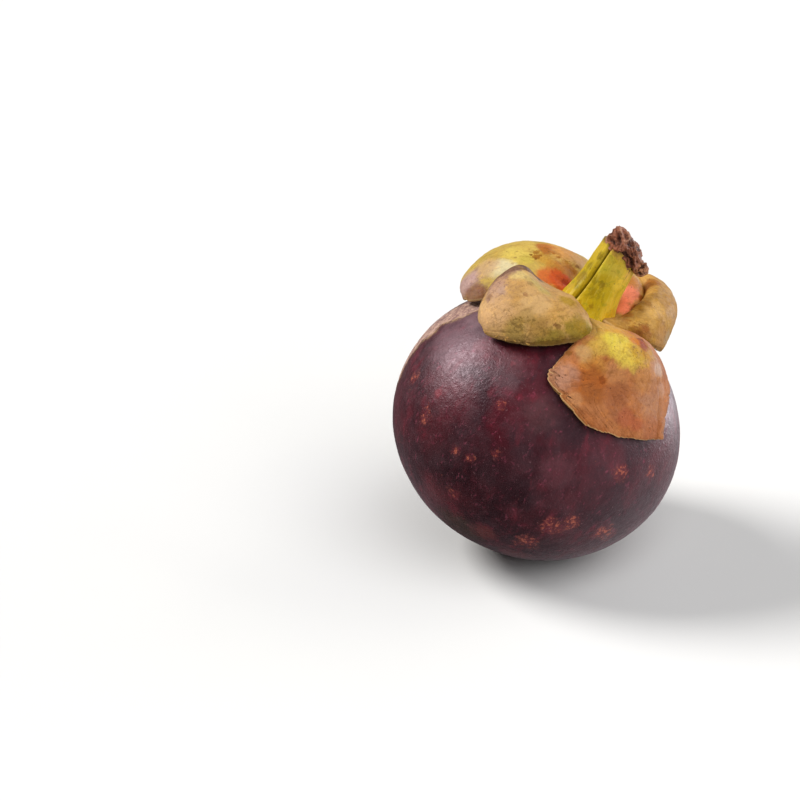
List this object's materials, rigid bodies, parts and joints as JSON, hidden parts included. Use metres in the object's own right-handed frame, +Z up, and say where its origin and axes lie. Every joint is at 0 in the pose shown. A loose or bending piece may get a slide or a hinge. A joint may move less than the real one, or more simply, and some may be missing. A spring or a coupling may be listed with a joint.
{
  "type": "mangosteen",
  "caption": "Whole mangosteen with a dark purple rind, a calyx of leathery sepals, a short woody-ended stem and a stigma rosette, resting on a small flat spot.",
  "frame": {"origin": "centre of the small flat spot that the fruit rests on", "axes": "+Z up, away from the surface it rests on; the stem end leans towards +X, and -Y is the side with the broad flat sepal"},
  "size_m": [0.0591, 0.0599, 0.0705],
  "materials": {
    "skin": "waxy matt rind, dark aubergine with red and copper mottling",
    "sepal": "dry leathery leaf, yellow-green to tan and brown",
    "stem": "satin yellow-green stalk with a brown fibrous broken end",
    "stigma": "matt brown, woody"
  },
  "bodies": {
    "root": {"fruit": "skin", "stem": "stem", "sepal_front": "sepal", "sepal_left": "sepal", "sepal_back": "sepal", "sepal_right": "sepal", "stigma_rosette": "stigma"}
  },
  "joints": []
}
